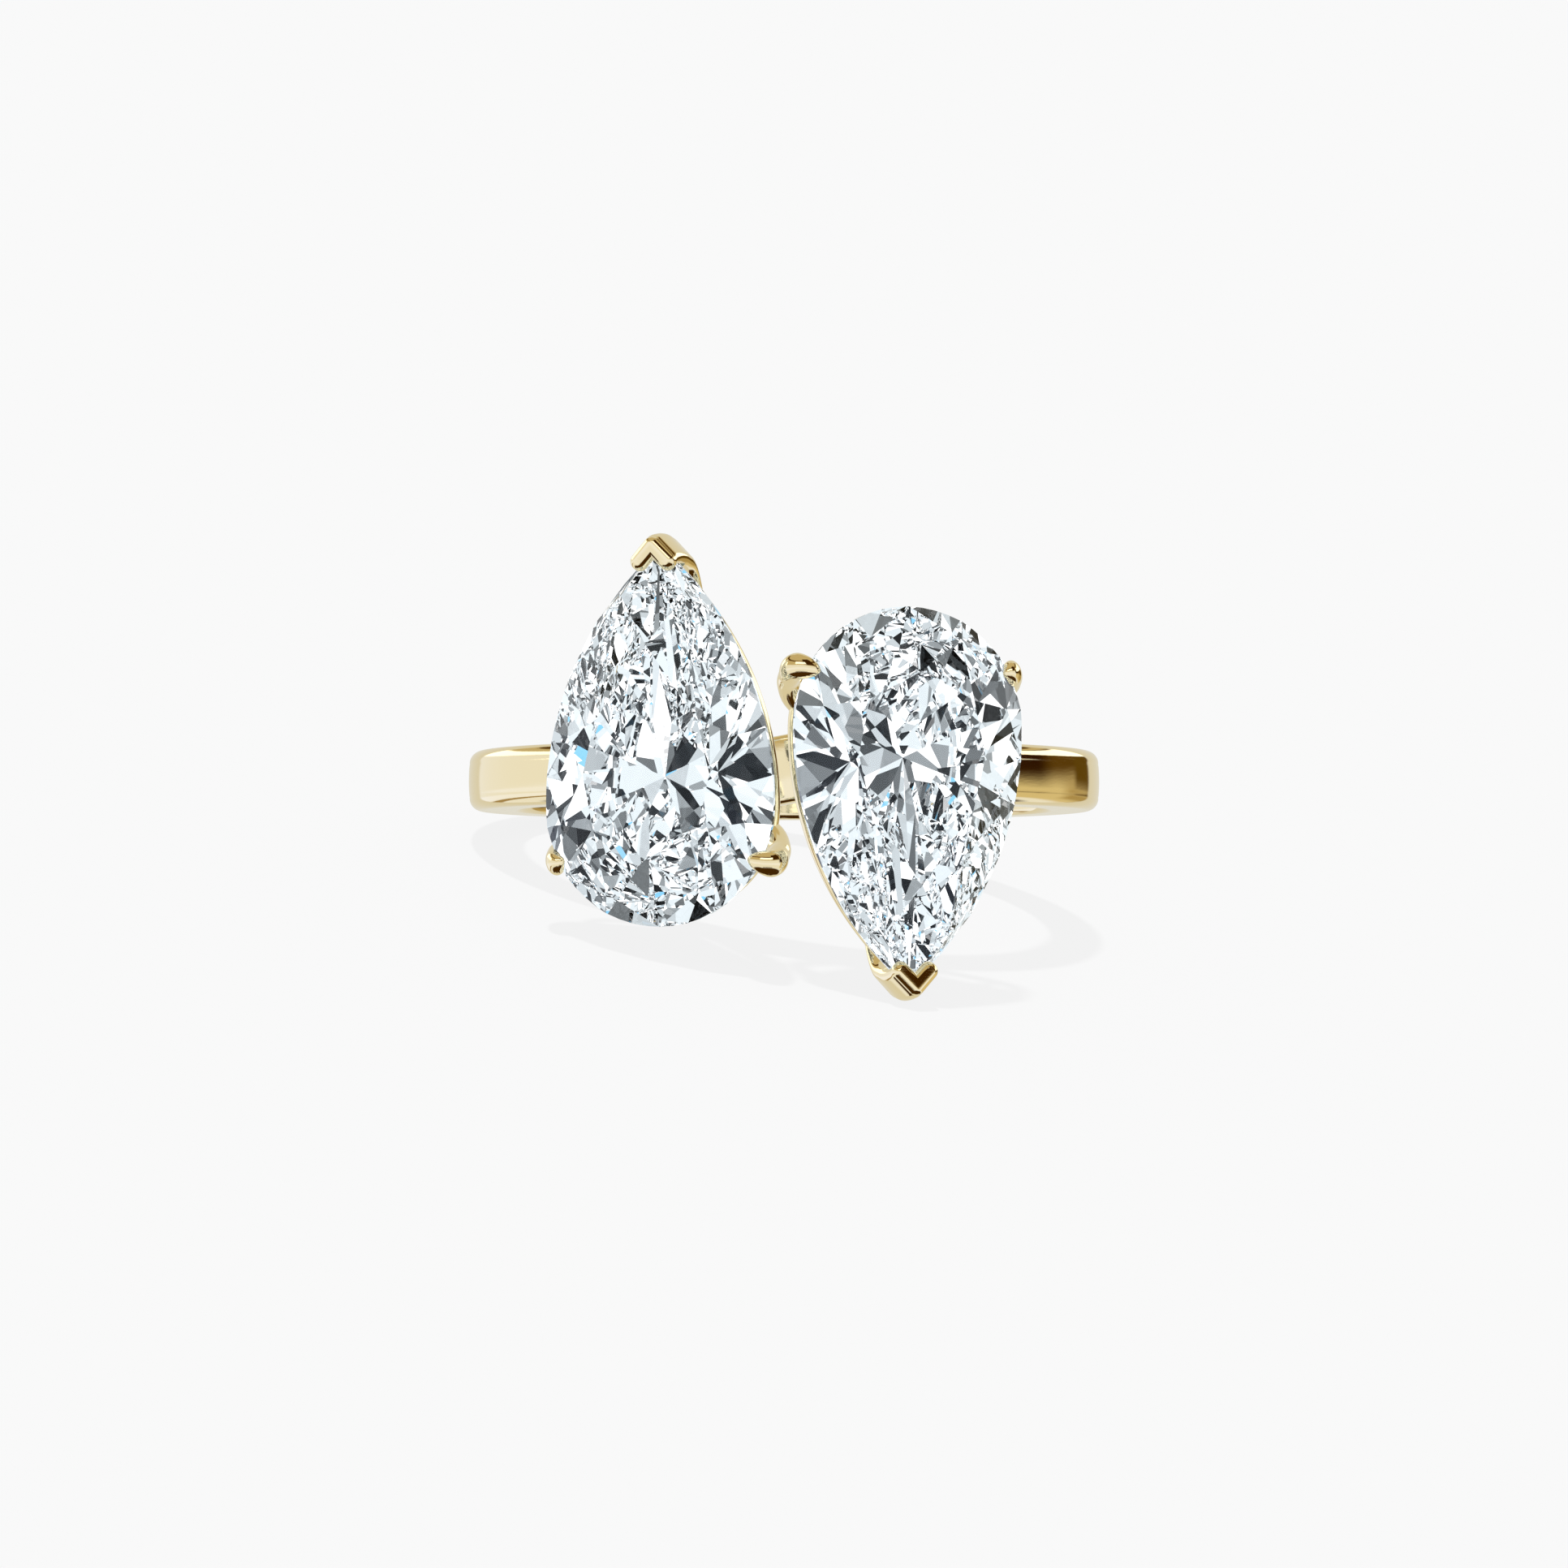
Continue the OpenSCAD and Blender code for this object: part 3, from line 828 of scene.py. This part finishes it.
METAL_BASE = (0.93, 0.96, 1.05)
METAL_PATCHES = [
    Patch(0, -70, 180, 30, 6, (0.06, 0.025, 0.003)),
    Patch(0, -10, 180, 7, 4, (1.0, 1.06, 1.3)),
    Patch(180, -22, 80, 3, 2, (0.4, 0.28, 0.12)),
    Patch(0, -36, 30, 2, 2, (0.06, 0.025, 0.003)),
    Patch(0, 55, 180, 40, 6, (0.6, 0.5, 0.3)),
    Patch(0, 42, 180, 4, 2, (0.12, 0.06, 0.01)),
    Patch(115, 9, 33, 24, 4, (0.11, 0.055, 0.006)),
    Patch(115, -14, 33, 15, 9, (0.74, 0.63, 0.37)),
    Patch(140, -9, 14, 9, 12, (0.45, 0.33, 0.13)),
    Patch(92, 10, 20, 10, 13, (0.03, 0.009, 0.001)),
    Patch(143, 5.5, 10, 6, 5, (0.12, 0.065, 0.006)),
    Patch(47, 39, 28, 20, 4, (0.05, 0.018, 0.001)),
    Patch(120, 21.5, 30, 9.5, 3, grey(1.8)),
    Patch(-120, 20, 30, 8, 3, grey(1.8)),
    Patch(0, 30, 30, 7, 3, grey(1.8)),
    Patch(180, 0, 32, 60, 3, (0.76, 0.74, 0.66)),
]
# The stones show a studio of cards: what share of them has each tone, from dark to light
CARD_TONES = [
    (0.155, cool(0.002)),
    (0.075, cool(0.02)),
    (0.085, cool(0.08)),
    (0.085, cool(0.2)),
    (0.08, cool(0.4)),
    (0.005, (0.3, 0.75, 1.1)),
    (0.001, (0.9, 0.5, 0.5)),
    (0.145, cool(0.75)),
    (0.185, cool(1.02)),
    (0.184, grey(1.5)),
]
# How fine the cards are, and where their pattern begins
CARD_SCALE = 6
CARD_SHIFT = (1.95, 2.7, 0.34)
# Over the cards lie two white strips, left and right of the camera
CARD_PATCHES = [
    Patch(-70, 0, 40, 9, 1, grey(1.5)),
    Patch(70, 0, 40, 9, 1, grey(1.5)),
]


def math_node(tree, operation, first, second=None, third=None):
    node = tree.nodes.new("ShaderNodeMath")
    node.operation = operation
    for socket, value in zip(node.inputs, (first, second, third)):
        if value is None:
            continue
        if isinstance(value, (int, float)):
            socket.default_value = value
        else:
            tree.links.new(value, socket)
    return node.outputs[0]


def dot_node(tree, vector, axis):
    node = tree.nodes.new("ShaderNodeVectorMath")
    node.operation = "DOT_PRODUCT"
    tree.links.new(vector, node.inputs[0])
    node.inputs[1].default_value = axis
    return node.outputs["Value"]


def within(tree, distance, half, soft):
    """1 within half of the middle, 0 beyond it, with a soft edge."""
    node = tree.nodes.new("ShaderNodeMapRange")
    node.interpolation_type = "SMOOTHSTEP"
    node.inputs["From Min"].default_value = math.radians(half - soft / 2)
    node.inputs["From Max"].default_value = math.radians(half + soft / 2)
    node.inputs["To Min"].default_value = 1
    node.inputs["To Max"].default_value = 0
    tree.links.new(distance, node.inputs["Value"])
    return node.outputs["Result"]


def patchwork(tree, azimuth, height, color, patches):
    """Colour in each direction: a base with the patches laid over it in turn."""
    for patch in patches:
        turned = math_node(tree, "SUBTRACT", azimuth, math.radians(patch.azimuth))
        aside = math_node(tree, "ABSOLUTE", math_node(tree, "WRAP", turned, math.pi, -math.pi))
        raised = math_node(tree, "SUBTRACT", height, math.radians(patch.height))
        apart = math_node(tree, "ABSOLUTE", raised)
        mask = math_node(
            tree, "MULTIPLY", within(tree, aside, patch.half_width, patch.soft),
            within(tree, apart, patch.half_height, patch.soft))
        color = blended(tree, mask, color, patch.color)
    return color


def card_light(tree, place):
    """Crisp cards of flat tones in all directions."""
    mapping = tree.nodes.new("ShaderNodeMapping")
    mapping.inputs["Location"].default_value = CARD_SHIFT
    cells = tree.nodes.new("ShaderNodeTexVoronoi")
    cells.inputs["Scale"].default_value = CARD_SCALE
    tree.links.new(place, mapping.inputs["Vector"])
    tree.links.new(mapping.outputs["Vector"], cells.inputs["Vector"])
    parts = tree.nodes.new("ShaderNodeSeparateColor")
    tree.links.new(cells.outputs["Color"], parts.inputs["Color"])
    ramp = tree.nodes.new("ShaderNodeValToRGB")
    ramp.color_ramp.interpolation = "CONSTANT"
    ramp.color_ramp.elements.remove(ramp.color_ramp.elements[1])
    start = 0
    for i, (share, color) in enumerate(CARD_TONES):
        stops = ramp.color_ramp.elements
        stop = stops[0] if i == 0 else stops.new(start)
        stop.color = (*color, 1)
        start += share
    tree.links.new(parts.outputs["Red"], ramp.inputs["Fac"])
    return ramp.outputs["Color"]


def studio_light():
    """Reflections show the patches, the stones let the cards through, and the rest is plain."""
    world = bpy.data.worlds.new("studio")
    bpy.context.scene.world = world
    world.use_nodes = True
    world.cycles.sampling_method = "NONE"
    tree = world.node_tree
    tree.nodes.clear()
    place = tree.nodes.new("ShaderNodeTexCoord").outputs["Generated"]
    turn = LYING.to_3x3()
    across, along, out = (dot_node(tree, place, turn.col[i]) for i in range(3))
    azimuth = math_node(tree, "ARCTAN2", across, out)
    height = math_node(tree, "ARCSINE", along)
    metal = patchwork(tree, azimuth, height, METAL_BASE, METAL_PATCHES)
    stones = patchwork(tree, azimuth, height, card_light(tree, place), CARD_PATCHES)
    paths = tree.nodes.new("ShaderNodeLightPath").outputs
    plain = math_node(tree, "MAXIMUM", paths["Is Diffuse Ray"], paths["Is Camera Ray"])
    seen = blended(tree, paths["Is Transmission Ray"], metal, stones)
    seen = blended(tree, plain, seen, grey(FLOOR_LIGHT))
    background = tree.nodes.new("ShaderNodeBackground")
    tree.links.new(seen, background.inputs["Color"])
    output = tree.nodes.new("ShaderNodeOutputWorld")
    tree.links.new(background.outputs["Background"], output.inputs["Surface"])


def render_look():
    scene = bpy.context.scene
    scene.view_settings.view_transform = "Standard"
    scene.view_settings.look = "None"
    scene.cycles.max_bounces = BOUNCES
    scene.cycles.transmission_bounces = BOUNCES
    scene.cycles.glossy_bounces = BOUNCES
    scene.cycles.diffuse_bounces = 2
    scene.cycles.caustics_reflective = False
    scene.cycles.caustics_refractive = False


# The ring

def dress(piece, slot, node, *materials):
    """Moves a piece from the ring's frame to the lying CAD part, and gives it its finish."""
    piece.data.transform(TO_WORLD)
    for index, material in enumerate(materials):
        if index < len(piece.data.materials):
            piece.data.materials[index] = material
        else:
            piece.data.materials.append(material)
    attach(piece, "root")
    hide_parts(node)


photo_camera()
studio_floor()
shadow_lamp()
studio_light()
render_look()

gold = polished_gold()
metal = [band(), bridge()]
for side in range(2):
    metal += [gallery_rail(side), v_prong(side)]
    metal += [claw_prong(side, mirrored) for mirrored in (False, True)]
# The metal shows neither in reflections nor through the stones, which keeps the facets clean
for piece in metal:
    dress(piece, "yellow_gold", "gold_ring", gold)
    piece.visible_transmission = False
    piece.visible_glossy = False

clear, ground = clear_stone(), girdle_finish()
for side, name in enumerate(SIDES):
    dress(pear_stone(side), "clear_stone", f"pear_stone_{name}", clear, ground)
